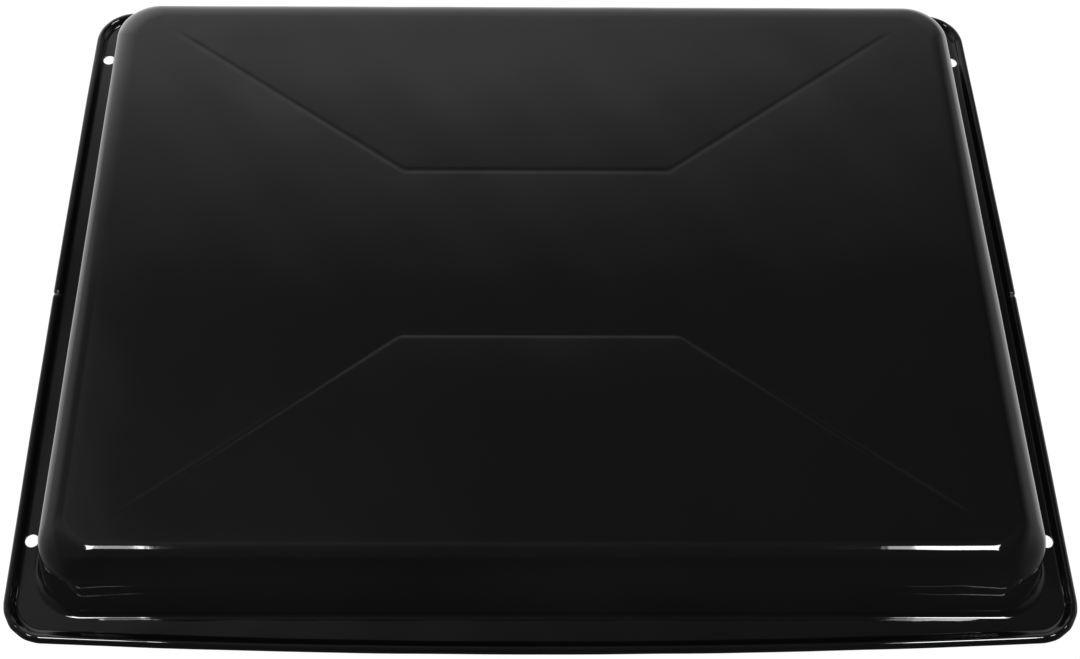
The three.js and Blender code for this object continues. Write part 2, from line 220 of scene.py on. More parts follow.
def lathe(profile, segments):
    """Points and faces of a closed turned shape about Z; the profile starts and ends on the axis."""
    points = [(0.0, 0.0, profile[0][1])]
    for radius, height in profile[1:-1]:
        points += circle(radius, height, segments)
    points.append((0.0, 0.0, profile[-1][1]))
    rings = len(profile) - 2
    faces = [tuple(1 + k for k in face) for face in ring_faces(rings, segments)]
    last = len(points) - 1
    final_ring = 1 + (rings - 1) * segments
    for i in range(segments):
        j = (i + 1) % segments
        faces.append((0, 1 + j, 1 + i))
        faces.append((last, final_ring + i, final_ring + j))
    return points, faces


def at_each_hole(name, points, faces):
    """One object with a copy of the points and faces at each of the four screw holes."""
    all_points, all_faces = [], []
    for x, y in HOLES:
        start = len(all_points)
        all_points += [(px + x, py + y, pz) for px, py, pz in points]
        all_faces += [tuple(start + k for k in face) for face in faces]
    return new_object(name, all_points, all_faces)


def arc(inset, height, radius, from_angle, to_angle, steps):
    """Points on an arc as (inset, height); angles in degrees from the inward direction."""
    angles = np.radians(np.linspace(from_angle, to_angle, steps + 1))
    return [(inset + radius * math.cos(a), height + radius * math.sin(a)) for a in angles]


def rounded_outline(x, y, width, height, radius, steps):
    """A rounded rectangle's points, counter-clockwise, with an arc of steps at each corner."""
    outline = []
    for index, (sx, sy) in enumerate([(1, 1), (-1, 1), (-1, -1), (1, -1)]):
        for i in range(steps + 1):
            angle = math.radians(90 * index + 90 * i / steps)
            outline.append((
                x + sx * (width / 2 - radius) + radius * math.cos(angle),
                y + sy * (height / 2 - radius) + radius * math.sin(angle),
            ))
    return outline


def smooth_step(value):
    """0 below 0, 1 above 1, and a smooth rise between."""
    t = np.clip(value, 0.0, 1.0)
    return t * t * (3 - 2 * t)


# ---- plan outline ----

CORNER_STEPS = 24
REAR_STEPS = 260
FRONT_STEPS = 90
SIDE_SPACING = 9.0
NOTCH_OFFSETS = (0.0, 0.4, 0.8, 1.2, 1.8, 2.6, 4.0)
NOTCH_CLEARANCE = 1.0
BOW_POWER = 4  # how quickly an edge's bow dies out away from that edge


def side_shares():
    """Places along a side edge from front (0) to rear (1), closer together at the notch."""
    reach = DEPTH / 2 - CORNER_R
    even = np.arange(-reach + SIDE_SPACING, reach, SIDE_SPACING)
    near = [NOTCH_Y + side * offset for offset in NOTCH_OFFSETS for side in (-1, 1)]
    far = [y for y in even if abs(y - NOTCH_Y) > NOTCH_OFFSETS[-1] + NOTCH_CLEARANCE]
    return (np.unique(np.round(far + near, 3)) + reach) / (2 * reach)


def plan_loop(inset):
    """The closed outline at an inset from the flange edge, counter-clockwise from the right side."""
    on_dome = inset > (RIM_FILLET_INSET + BASE_FILLET_INSET) / 2
    radius = CORNER_R - inset
    if on_dome:
        radius = DOME_CORNER_R - DOME_CORNER_TAPER * (inset - BASE_FILLET_INSET)
    half_x = WIDTH / 2 - inset
    half_y = DEPTH / 2 - inset
    reach_x = half_x - radius
    reach_y = half_y - radius
    centres = np.array([
        (reach_x, reach_y), (-reach_x, reach_y), (-reach_x, -reach_y), (reach_x, -reach_y)
    ])
    rear = np.linspace(0, 1, REAR_STEPS + 1)[1:-1]
    front = np.linspace(0, 1, FRONT_STEPS + 1)[1:-1]
    side = side_shares()
    shares = [rear, (1 - side)[::-1], front, side]
    pieces = []
    for index, centre in enumerate(centres):
        angles = np.radians(90 * index + np.linspace(0, 90, CORNER_STEPS + 1))
        corner = centre + radius * np.column_stack([np.cos(angles), np.sin(angles)])
        next_centre = centres[(index + 1) % 4]
        edge = corner[-1] + shares[index][:, None] * (next_centre - centre)
        pieces += [corner, edge]
    loop = np.concatenate(pieces)
    if not on_dome:
        x, y = loop[:, 0].copy(), loop[:, 1].copy()
        along_x = np.clip(1 - (x / half_x) ** 2, 0, None) * np.abs(y / half_y) ** BOW_POWER
        along_y = np.clip(1 - (y / half_y) ** 2, 0, None) * np.abs(x / half_x) ** BOW_POWER
        loop[:, 0] += np.sign(x) * SIDE_BOW * along_y
        loop[:, 1] += np.where(y > 0, REAR_BOW, -FRONT_BOW) * along_x
    return loop


COLUMNS = len(plan_loop(0.0))
CORNER_STARTS = [0]
for straight in (REAR_STEPS - 1, len(side_shares()), FRONT_STEPS - 1):
    CORNER_STARTS.append(CORNER_STARTS[-1] + CORNER_STEPS + 1 + straight)

# ---- rear wall frame ----

WALL_OUT = Vector((0, math.cos(DRAFT), math.sin(DRAFT)))
WALL_UP = Vector((0, -math.sin(DRAFT), math.cos(DRAFT)))
WALL_ORIGIN = Vector(
    (0, DEPTH / 2 - WALL_INSET - LOUVRE_MIDDLE * math.tan(DRAFT), FLANGE_TOP + LOUVRE_MIDDLE)
)


def on_rear_wall(points):
    """Points built flat (x across, y up the wall, z out of it) placed on the rear wall."""
    flat = np.asarray(points, float)
    return (
        np.array(WALL_ORIGIN)
        + flat[:, :1] * np.array([1.0, 0.0, 0.0])
        + flat[:, 1:2] * np.array(WALL_UP)
        + flat[:, 2:3] * np.array(WALL_OUT)
    )


def louvre_x(index):
    """Place of a louvre across the rear wall."""
    return (index - (LOUVRE_COUNT - 1) / 2) * LOUVRE_PITCH


def rivet_x(index):
    """Place of a rivet across the rear wall: between the louvres and past the end ones."""
    return (index - LOUVRE_COUNT / 2) * LOUVRE_PITCH


# ---- crown of the pan ----

GROOVE_REACH = 243.0
GROOVE_HALF_BAR = 83.5
GROOVE_WIDTH = 6.0
GROOVE_FADE = 12.0
VALLEY_FADE = 60.0
VALLEY_CORE = 3.0
REAR_GROOVE = {
    "end_y": 178.0, "bar_y": 61.3, "dip": 0.075, "valley": 0.25, "behind": 24.0, "before": 24.0,
}
FRONT_GROOVE = {
    "end_y": -178.0, "bar_y": -57.6, "dip": 0.16, "valley": 1.3, "behind": 100.0, "before": 48.0,
}
GROOVES = (REAR_GROOVE, FRONT_GROOVE)
GROOVE_STATION = 3.0
GROOVE_ROWS = np.array([0.12, 0.25, 0.38, 0.5, 0.75])  # shares of the groove's width from its middle

CROWN_GRID = 8.0
CROWN_RISE = 0.5
EDGE_FADE = 30.0
PLAN_TOLERANCE = 1e-4


def groove_line(groove):
    """The middle of a groove in plan: a straight bar with a slanted arm at each end."""
    end_y, bar_y = groove["end_y"], groove["bar_y"]
    return np.array([
        (-GROOVE_REACH, end_y), (-GROOVE_HALF_BAR, bar_y), (GROOVE_HALF_BAR, bar_y), (GROOVE_REACH, end_y)
    ])


def groove_distance(points, line):
    """Distance of plan points from a groove's line."""
    nearest = np.full(len(points), np.inf)
    for start, end in zip(line[:-1], line[1:]):
        run = end - start
        share = np.clip(((points - start) @ run) / (run @ run), 0, 1)
        away = np.linalg.norm(points - (start + share[:, None] * run), axis=1)
        nearest = np.minimum(nearest, away)
    return nearest


def groove_depth(points):
    """Depth of the pressed grooves at plan points: a narrow dip in a wide shallow valley."""
    depth = np.zeros(len(points))
    past_end = GROOVE_REACH - np.abs(points[:, 0])
    for groove in GROOVES:
        line = groove_line(groove)
        nearest = groove_distance(points, line)
        in_front = points[:, 1] < np.interp(points[:, 0], line[:, 0], line[:, 1])
        dip = 0.5 + 0.5 * np.cos(np.pi * np.clip(nearest / (GROOVE_WIDTH / 2), 0, 1))
        reach = np.where(in_front, groove["before"], groove["behind"])
        valley = np.exp((VALLEY_CORE - np.hypot(nearest, VALLEY_CORE)) / reach)
        depth += groove["dip"] * dip * smooth_step(past_end / GROOVE_FADE)
        depth += groove["valley"] * valley * smooth_step(past_end / VALLEY_FADE)
    return depth


def crown_height(points):
    """Height of the crown at plan points: a slight rise less the grooves, which fade at the edge."""
    half = np.array([WIDTH / 2, DEPTH / 2]) - CROWN_BEND_INSET
    share = np.clip(1 - (points / half) ** 2, 0, 1)
    bowl = share[:, 0] * share[:, 1]
    from_edge = (half - np.abs(points)).min(axis=1)
    return CROWN_TOP + CROWN_RISE * bowl - groove_depth(points) * smooth_step(from_edge / EDGE_FADE)


def crown_points():
    """Plan points inside the crown: an even grid, and closer rows along the grooves."""
    half = np.array([WIDTH / 2, DEPTH / 2]) - CROWN_BEND_INSET - CROWN_GRID / 2
    places_x, places_y = (np.arange(-reach, reach, CROWN_GRID) for reach in half)
    grid_x, grid_y = np.meshgrid(places_x, places_y)
    grid = np.column_stack([grid_x.ravel(), grid_y.ravel()])
    corner = DOME_CORNER_R - DOME_CORNER_TAPER * (CROWN_BEND_INSET - BASE_FILLET_INSET)
    past = np.clip(np.abs(grid) - (half - corner), 0, None)
    grid = grid[np.linalg.norm(past, axis=1) < corner]
    offsets = GROOVE_WIDTH * np.concatenate([-GROOVE_ROWS[::-1], [0], GROOVE_ROWS])
    rows = []
    for groove in GROOVES:
        line = groove_line(groove)
        grid = grid[groove_distance(grid, line) > GROOVE_WIDTH]
        for start, end in zip(line[:-1], line[1:]):
            run = end - start
            length = np.linalg.norm(run)
            across = np.array([-run[1], run[0]]) / length
            stations = np.linspace(0, 1, int(length / GROOVE_STATION) + 1)
            rows += [start + stations[:, None] * run + offset * across for offset in offsets]
    return np.concatenate([grid] + rows)


def crown_mesh(boundary, boundary_start, next_number):
    """New points and the faces of the crown, inside the last row of the walls.

    The boundary's points keep their numbers from boundary_start on, and new ones start at next_number.
    """
    plan = np.concatenate([boundary, crown_points()])
    edges = [(i, (i + 1) % COLUMNS) for i in range(COLUMNS)]
    vectors = [Vector(point) for point in plan.tolist()]
    found, _, triangles, sources, _, _ = delaunay_2d_cdt(vectors, edges, [], 1, PLAN_TOLERANCE)
    found = np.array([tuple(point) for point in found])
    heights = crown_height(found)
    numbers = []
    extra = []
    for (x, y), height, merged in zip(found, heights, sources):
        on_boundary = [source for source in merged if source < COLUMNS]
        if on_boundary:
            numbers.append(boundary_start + on_boundary[0])
        else:
            numbers.append(next_number + len(extra))
            extra.append((x, y, height))
    return extra, [tuple(numbers[k] for k in triangle) for triangle in triangles]


# ---- cover pan ----

ROLL_STEPS = 26
RIM_FILLET_STEPS = 5
BASE_FILLET_STEPS = 9
BEND_STEPS = 16
WALL_ROW = 1.2
SLIT_HEIGHT = FLANGE_TOP + LOUVRE_MIDDLE - LOUVRE_HEIGHT / 2 * math.cos(DRAFT)
SMALLEST_SLIT = 0.02

HOOD_HALF_WIDTH = 27.0
HOOD_REACH = 6.5
HOOD_RISE = 12.0

LUMP_PITCH = 9.5
LUMP_HEIGHT = 0.14
REAR_LUMP_SHARE = 0.35

WAVE_HEIGHT = 0.06
SLANTED_SHARE = 0.5
FINE_SHARE = 0.2

HOLE_EDGE = 0.3
HOLE_EDGE_ANGLES = (0.5, 1.0, math.pi / 2)
HOLE_SIDES = 40
CUTTER_BELOW = 3.0
CUTTER_ABOVE = 8.0


def sheet_section():
    """The outside face from the roll's free edge to the crown, as (inset, height).

    The number of points in the roll comes with it.
    """
    lean = math.degrees(DRAFT)
    hollow_height = FLANGE_TOP + RIM_FILLET
    foot_height = FLANGE_TOP + BASE_FILLET
    bend_height = CROWN_TOP - CROWN_BEND
    roll = arc(RIM_R, FLANGE_TOP + RIM_LIFT, RIM_R, RIM_END_ANGLE, RIM_ANGLE - 360, ROLL_STEPS)
    hollow = arc(RIM_FILLET_INSET, hollow_height, RIM_FILLET, 180 + RIM_ANGLE, 270, RIM_FILLET_STEPS)
    foot = arc(BASE_FILLET_INSET, foot_height, BASE_FILLET, 270, 360 - lean, BASE_FILLET_STEPS)
    bend = arc(CROWN_BEND_INSET, bend_height, CROWN_BEND, 180 - lean, 90, BEND_STEPS)
    heights = np.concatenate([
        np.arange(SLIT_HEIGHT, foot[-1][1] + WALL_ROW / 2, -WALL_ROW)[::-1],
        np.arange(SLIT_HEIGHT + WALL_ROW, bend[0][1] - WALL_ROW / 2, WALL_ROW),
    ])
    wall = [(WALL_INSET + (h - FLANGE_TOP) * math.tan(DRAFT), h) for h in heights]
    return roll + hollow[1:] + foot + wall + bend, len(roll)


def hood_reach(x, up):
    """How far the louvre hoods stand out at a place on the rear wall above the slit."""
    limit = louvre_x(LOUVRE_COUNT - 1)
    nearest = np.clip(np.round(x / LOUVRE_PITCH) * LOUVRE_PITCH, -limit, limit)
    past_straight = np.clip(np.abs(x - nearest) - (HOOD_HALF_WIDTH - HOOD_RISE), 0, None)
    above_slit = up + LOUVRE_HEIGHT / 2
    distance = np.sqrt((past_straight / HOOD_RISE) ** 2 + (above_slit / HOOD_RISE) ** 2)
    return HOOD_REACH * (1 - smooth_step(distance))


def hooded(row, up):
    """A wall row with its rear stretch pushed out by the louvre hoods."""
    on_rear = row[:, 1] > DEPTH / 2 - CROWN_BEND_INSET
    on_rear &= np.abs(row[:, 0]) < PANEL_WIDTH / 2
    reach = hood_reach(row[:, 0], up) * on_rear
    return row + reach[:, None] * np.array(WALL_OUT)


def shaped_rim(row):
    """A row of the roll, pushed in and out by the corner lumps and pressed in at the side notches."""
    centre = np.column_stack([plan_loop(RIM_R), np.full(COLUMNS, FLANGE_TOP + RIM_LIFT)])
    outward = row - centre
    outward /= np.linalg.norm(outward, axis=1)[:, None]
    steps = np.linalg.norm(np.diff(centre, axis=0), axis=1)
    travelled = np.concatenate([[0], np.cumsum(steps)])
    at_corner = np.zeros(COLUMNS)
    for start in CORNER_STARTS:
        at_corner[start:start + CORNER_STEPS + 1] = np.sin(np.linspace(0, math.pi, CORNER_STEPS + 1))
    lumps = LUMP_HEIGHT * at_corner * np.sin(travelled * 2 * math.pi / LUMP_PITCH)
    lumps *= np.where(centre[:, 1] > 0, REAR_LUMP_SHARE, 1.0)
    on_side = np.abs(centre[:, 0]) > WIDTH / 2 - CORNER_R
    near = np.exp(-((centre[:, 1] - NOTCH_Y) / (NOTCH_WIDTH / 2)) ** 2)
    notch = NOTCH_DEPTH * near * on_side
    return row + outward * (lumps - notch)[:, None]


def shaped_rows():
    """All rows of the sheet with the rim's lumps and notches and the louvre hoods.

    The number of the row that the louvres are slit along comes with them.
    """
    section, roll_rows = sheet_section()
    slit_row = min(range(len(section)), key=lambda i: abs(section[i][1] - SLIT_HEIGHT))
    rows = []
    for number, (inset, height) in enumerate(section):
        row = np.column_stack([plan_loop(inset), np.full(COLUMNS, height)])
        up = (height - FLANGE_TOP - LOUVRE_MIDDLE) / math.cos(DRAFT)
        if number < roll_rows:
            row = shaped_rim(row)
        elif number > slit_row and up < HOOD_RISE:
            row = hooded(row, up)
        rows.append(row)
    return rows, slit_row


def slit_sheet(rows, slit_row):
    """Points and faces between the rows, with the louvres slit open below their hoods."""
    points = np.concatenate(rows)
    lips = hooded(rows[slit_row], -LOUVRE_HEIGHT / 2)
    split = np.linalg.norm(lips - rows[slit_row], axis=1) > SMALLEST_SLIT
    lip_number = {}
    for column in np.flatnonzero(split):
        lip_number[slit_row * COLUMNS + int(column)] = len(points) + len(lip_number)
    faces = []
    for a, b, c, d in ring_faces(len(rows), COLUMNS):
        if a // COLUMNS == slit_row:
            a, b = lip_number.get(a, a), lip_number.get(b, b)
        faces.append((a, b, c, d))
    return np.concatenate([points, lips[split]]), faces


def pan_sheet():
    """Points and faces of the pan's outside face: rim, flange, walls and crown."""
    rows, slit_row = shaped_rows()
    points, faces = slit_sheet(rows, slit_row)
    boundary_start = (len(rows) - 1) * COLUMNS
    extra, crown_faces = crown_mesh(rows[-1][:, :2], boundary_start, len(points))
    return np.concatenate([points, np.array(extra)]), faces + crown_faces


def wave(points, direction, length, phase):
    """A sine wave along a direction; length is in millimetres per radian."""
    return np.sin(points @ np.array(direction, float) / length + phase)


def unevenness(points):
    """Faint waves of a hand-fed pressing, in millimetres along the surface normal."""
    broad = wave(points, (1, 0, 0), 17, 1.3) * wave(points, (0, 1, 0), 21, 0.4)
    slanted = wave(points, (1, 0.7, 2), 9.5, 2.1)
    fine = wave(points, (1, -1.3, -3), 5.1, 0.7) * wave(points, (1, 1, 0), 12, 0)
    return WAVE_HEIGHT * (broad + SLANTED_SHARE * slanted + FINE_SHARE * fine)


def hole_cutter():
    """Turned cutters that make the four screw holes with rounded edges."""
    low, high = FLANGE_TOP - SHEET, FLANGE_TOP
    flare = HOLE_R + HOLE_EDGE
    turn = []
    for angle in HOLE_EDGE_ANGLES:
        turn.append((flare - HOLE_EDGE * math.sin(angle), HOLE_EDGE * (1 - math.cos(angle))))
    profile = [(0, low - CUTTER_BELOW), (flare, low - CUTTER_BELOW), (flare, low)]
    profile += [(radius, low + rise) for radius, rise in turn]
    profile += [(radius, high - rise) for radius, rise in reversed(turn)]
    profile += [(flare, high), (flare, high + CUTTER_ABOVE), (0, high + CUTTER_ABOVE)]
    return at_each_hole("pan_holes", *lathe(profile, HOLE_SIDES))


def make_pan():
    """The pressed cover: one uneven sheet, given its thickness and then its screw holes."""
    points, faces = pan_sheet()
    pan = new_object("cover_pan_sheet", points, faces)
    normals = np.array([tuple(v.normal) for v in pan.data.vertices])
    uneven = (points + normals * unevenness(points)[:, None] + (0.0, SHIFT_Y, 0.0)) * MM
    pan.data.vertices.foreach_set("co", uneven.ravel())
    solidify = pan.modifiers.new("sheet", "SOLIDIFY")
    solidify.thickness = SHEET * MM
    solidify.offset = -1
    solidify.use_even_offset = True
    solidify.use_rim = True
    apply_modifiers(pan)
    cut(pan, hole_cutter())
    shade_smooth(pan, sharp_degrees=38)
    pan.modifiers.new("flats", "WEIGHTED_NORMAL").keep_sharp = True
    return apply_modifiers(pan)


# ---- rim wires ----

WIRE_SIDES = 14


def make_rim_wire(name, towards_rear):
    """Half a ring of wire inside the roll, stopping short of the side notches."""
    line = np.column_stack([plan_loop(RIM_R), np.full(COLUMNS, FLANGE_TOP + RIM_LIFT)])
    sign = 1 if towards_rear else -1
    kept = line[sign * (line[:, 1] - NOTCH_Y) > NOTCH_WIDTH]
    steps = np.linalg.norm(np.diff(np.vstack([kept, kept[:1]]), axis=0), axis=1)
    after_gap = int(np.argmax(steps)) + 1
    points, faces = swept_wire(np.roll(kept, -after_gap, axis=0), WIRE_R, WIRE_SIDES)
    wire = new_object(name, points, faces)
    face_outwards(wire)
    shade_smooth(wire, sharp_degrees=60)
    return wire


# ---- screen, retainer and rivets ----

SCREEN_DISTANCE = SHEET + GAP
RETAINER_DISTANCE = SCREEN_DISTANCE + SCREEN_THICKNESS + GAP

MESH_PITCH = 2.0
MESH_WIRE_R = 0.15
MESH_WIRE_SIDES = 5
WEAVE_STEPS = 4

RETAINER_EDGE = 0.18
RETAINER_CORNER_R = 3.0
WINDOW_CORNER_R = 3.5
MERGE_DISTANCE = 1e-6

RIVET_SIDES = 28
RIVET_LIP = 0.25
HEAD_SWEEP = 1.25
HEAD_STEPS = 8
BULB_START = 0.6
BULB_END = 0.7
BULB_STEPS = 7
BULB_HALF_HEIGHT = 0.495 * RIVET_TAIL_HEIGHT
TAIL_END_R = 0.8


def woven_line(length, phase):
    """Places along a wire and its weave offset, which passes over and under at every crossing."""
    steps = int(length / MESH_PITCH * WEAVE_STEPS)
    along = np.linspace(-length / 2, length / 2, steps + 1)
    return along, MESH_WIRE_R * np.cos(np.pi * along / MESH_PITCH + np.pi * phase)


def make_screen():
    """Woven stainless wire cloth, cut to the panel's size."""
    middle = -SCREEN_DISTANCE - SCREEN_THICKNESS / 2
    points, faces = [], []

    def add(line):
        wire_points, wire_faces = swept_wire(on_rear_wall(line), MESH_WIRE_R, MESH_WIRE_SIDES)
        start = len(points)
        points.extend(wire_points.tolist())
        faces.extend(tuple(start + k for k in face) for face in wire_faces)

    for index in range(int(PANEL_WIDTH / MESH_PITCH)):
        x = -PANEL_WIDTH / 2 + MESH_PITCH * (index + 0.5)
        along, weave = woven_line(PANEL_HEIGHT, index)
        add(np.column_stack([np.full(len(along), x), along, middle + weave]))
    for index in range(int(PANEL_HEIGHT / MESH_PITCH)):
        y = -PANEL_HEIGHT / 2 + MESH_PITCH * (index + 0.5)
        along, weave = woven_line(PANEL_WIDTH, index + 1)
        add(np.column_stack([along, np.full(len(along), y), middle + weave]))
    screen = new_object("insect_screen_cloth", points, faces)
    face_outwards(screen)
    shade_smooth(screen, sharp_degrees=70)
    return screen


def bevelled_plate(outlines, thickness, edge):
    """Points and faces of a flat plate with rounded edges, its holes given as further outlines."""
    curve = bpy.data.curves.new("plate_outline", "CURVE")
    curve.dimensions = "2D"
    curve.fill_mode = "BOTH"
    curve.extrude = thickness / 2 - edge
    curve.bevel_depth = edge
    curve.bevel_resolution = 2
    for outline in outlines:
        spline = curve.splines.new("POLY")
        spline.points.add(len(outline) - 1)
        for point, (x, y) in zip(spline.points, outline):
            point.co = (x, y, 0, 1)
        spline.use_cyclic_u = True
    flat = bpy.data.objects.new("flat_plate", curve)
    bpy.context.scene.collection.objects.link(flat)
    mesh = evaluated_mesh(flat)
    bpy.data.objects.remove(flat)
    points = np.array([tuple(v.co) for v in mesh.vertices])
    return points, [tuple(p.vertices) for p in mesh.polygons]


def make_retainer():
    """The ladder-shaped retainer: one rounded window behind each louvre, and rivet holes."""
    edge = RETAINER_EDGE
    width, height = PANEL_WIDTH - 2 * edge, PANEL_HEIGHT - 2 * edge
    outlines = [rounded_outline(0, 0, width, height, RETAINER_CORNER_R, steps=6)]
    width, height = WINDOW_WIDTH + 2 * edge, WINDOW_HEIGHT + 2 * edge
    for index in range(LOUVRE_COUNT):
        outlines.append(rounded_outline(louvre_x(index), 0, width, height, WINDOW_CORNER_R, steps=8))
    size = 2 * (RIVET_SHANK_R + GAP + edge)
    for index in range(LOUVRE_COUNT + 1):
        outlines.append(rounded_outline(rivet_x(index), 0, size, size, size / 2, steps=6))
    points, faces = bevelled_plate(outlines, RETAINER_THICKNESS, edge)
    points[:, 2] -= RETAINER_DISTANCE + RETAINER_THICKNESS / 2
    retainer = new_object("screen_retainer_frame", on_rear_wall(points), faces)
    face_outwards(retainer, MERGE_DISTANCE)
    shade_smooth(retainer, sharp_degrees=40)
    return retainer


def make_rivet(index):
    """A blind rivet: domed head with the broken mandrel in its recess, and a pulled tail."""
    face = GAP
    top = face + RIVET_HEAD_HEIGHT
    tail = -(RETAINER_DISTANCE + RETAINER_THICKNESS + GAP)
    tail_end = tail - RIVET_TAIL_HEIGHT
    mandrel = [(0, top - 0.55), (0.62, top - 0.5)]
    recess = [(0.75, top - 0.7), (0.85, top - 0.1)]
    dome = []
    for angle in np.linspace(HEAD_SWEEP, 0, HEAD_STEPS + 1):
        height = face + RIVET_LIP + (RIVET_HEAD_HEIGHT - RIVET_LIP) * math.sin(angle)
        dome.append((RIVET_HEAD_R * math.cos(angle), height))
    shank = [(RIVET_HEAD_R, face), (RIVET_SHANK_R, face), (RIVET_SHANK_R, tail)]
    bulb = []
    for angle in np.linspace(BULB_START - math.pi / 2, math.pi / 2 - BULB_END, BULB_STEPS + 1):
        bulb.append((RIVET_TAIL_R * math.cos(angle), tail - BULB_HALF_HEIGHT * (1 + math.sin(angle))))
    profile = mandrel + recess + dome + shank + bulb + [(TAIL_END_R, tail_end), (0, tail_end)]
    points, faces = lathe(profile, RIVET_SIDES)
    moved = np.asarray(points) + (rivet_x(index), 0, 0)
    rivet = new_object(f"screen_rivet_turned_{index + 1}", on_rear_wall(moved), faces)
    face_outwards(rivet)
    shade_smooth(rivet, sharp_degrees=45)
    return rivet


# ---- seal strips ----

SEAL_EDGE = 0.9
SEAL_BULGE = 0.25
SEAL_JOINT = 0.6
SEAL_CORNER_Y = DEPTH / 2 - CORNER_R - 4.0
SQUARED_END = 0.001  # keeps a squared end apart from the plan points that lie level with it
NOTCH_CUTTER_SPARE = 1.0


def seal_section():
    """Rounded foam section as (distance from the outer edge, height)."""
    width = SEAL_INNER_INSET - SEAL_OUTER_INSET
    outline = rounded_outline(width / 2, SEAL_THICKNESS / 2, width, SEAL_THICKNESS, SEAL_EDGE, 4)
    section = []
    for across, height in outline:
        lean = (across - width / 2) / (width / 2)
        level = 1 - (2 * height / SEAL_THICKNESS - 1) ** 2
        section.append((across + SEAL_BULGE * lean * level - SEAL_BULGE * lean, height))
    return section


def notch_cutter():
    """Round-cornered blocks that open the side strips towards the edge at the four screws."""
    width, length = 2 * SEAL_NOTCH_HALF_WIDTH, 2 * SEAL_NOTCH_HALF_LENGTH
    outline = rounded_outline(0, 0, width, length, SEAL_NOTCH_HALF_WIDTH - 1, 8)
    low, high = -NOTCH_CUTTER_SPARE, SEAL_THICKNESS + NOTCH_CUTTER_SPARE
    points = [(x, y, height) for height in (low, high) for x, y in outline]
    return at_each_hole("seal_notches", points, tube_faces(2, len(outline)))


def strip_columns(place):
    """The plan loop's columns under one strip, in order, and the y at which its ends are squared."""
    line = plan_loop((SEAL_OUTER_INSET + SEAL_INNER_INSET) / 2)
    sign = 1 if place in ("rear", "right") else -1
    if place in ("front", "rear"):
        keep = sign * line[:, 1] > SEAL_CORNER_Y
        end_y = SEAL_CORNER_Y + SQUARED_END
    else:
        end_y = SEAL_CORNER_Y - SEAL_JOINT
        keep = (sign * line[:, 0] > 0) & (np.abs(line[:, 1]) < end_y)
    columns = np.flatnonzero(keep)
    breaks = np.flatnonzero(np.diff(columns) > 1)
    if len(breaks):
        columns = np.roll(columns, -(breaks[0] + 1))
    return columns, end_y


def make_seal(name, place):
    """A foam strip cut from the seal's ring; the front and rear strips run the full width."""
    columns, end_y = strip_columns(place)
    section = seal_section()
    loops = [plan_loop(SEAL_OUTER_INSET + inset) for inset, _ in section]
    rows = []
    for column in columns:
        rows.append([(*loop[column], height) for loop, (_, height) in zip(loops, section)])
    rows = np.array(rows)
    ends = rows[[0, -1]]
    for end in ends:
        end[:, 1] = np.sign(end[:, 1].mean()) * end_y
    rows = np.concatenate([ends[:1], rows, ends[1:]])
    strip = new_object(name, rows.reshape(-1, 3), tube_faces(len(rows), len(section)))
    face_outwards(strip)
    if place in ("left", "right"):
        cut(strip, notch_cutter())
    shade_smooth(strip, sharp_degrees=50)
    return strip


# ---- materials ----

NOISE_LOW = 0.3  # most of a noise texture lies between these two values
NOISE_HIGH = 0.7


class Nodes:
    """A material with a Principled shader, and short calls that add and link nodes."""

    def __init__(self, name):
        self.material = bpy.data.materials.new(name)
        self.material.use_nodes = True
        self.tree = self.material.node_tree
        self.shader = self.tree.nodes["Principled BSDF"]
        self.place = self.add("ShaderNodeTexCoord").outputs["Object"]

    def add(self, kind, **values):
        """A new node, its settings and inputs given by name."""
        node = self.tree.nodes.new(kind)
        for key, value in values.items():
            if hasattr(node, key):
                setattr(node, key, value)
            else:
                node.inputs[key.replace("_", " ").title()].default_value = value
        return node

    def link(self, output, target):
        self.tree.links.new(output, target)

    def noise(self, scale, detail=3.0):
        """Cloudy noise over the object, from 0 to 1."""
        node = self.add("ShaderNodeTexNoise", scale=scale, detail=detail, roughness=0.5)
        self.link(self.place, node.inputs["Vector"])
        return node.outputs["Fac"]

    def cells(self, scale):
        """Distance to the middle of the nearest random cell."""
        node = self.add("ShaderNodeTexVoronoi", feature="F1", scale=scale)
        self.link(self.place, node.inputs["Vector"])
        return node.outputs["Distance"]

    def spread(self, value, low, high, from_low=NOISE_LOW, from_high=NOISE_HIGH):
        """A value stretched from one range to another, and held at its ends."""
        limits = {"from_min": from_low, "from_max": from_high, "to_min": low, "to_max": high}
        node = self.add("ShaderNodeMapRange", **limits)
        self.link(value, node.inputs["Value"])
        return node.outputs["Result"]

    def between(self, value, first, second):
        """A mix of two colours."""
        node = self.add("ShaderNodeMix", data_type="RGBA")
        self.link(value, node.inputs[0])
        node.inputs[6].default_value = (*first, 1)
        node.inputs[7].default_value = (*second, 1)
        return node.outputs[2]

    def bump(self, height, distance, strength, below=None):
        """A bumped normal, on top of another one where it is given."""
        node = self.add("ShaderNodeBump", distance=distance, strength=strength)
        self.link(height, node.inputs["Height"])
        if below is not None:
            self.link(below, node.inputs["Normal"])
        return node.outputs["Normal"]

    def finish(self, color, roughness, normal, metallic=0.0):
        """The finished material."""
        self.link(color, self.shader.inputs["Base Color"])
        self.link(roughness, self.shader.inputs["Roughness"])
        self.link(normal, self.shader.inputs["Normal"])
        self.shader.inputs["Metallic"].default_value = metallic
        self.shader.inputs["IOR"].default_value = 1.5
        return self.material


def grey(value):
    """A neutral colour."""
    return (value, value, value)


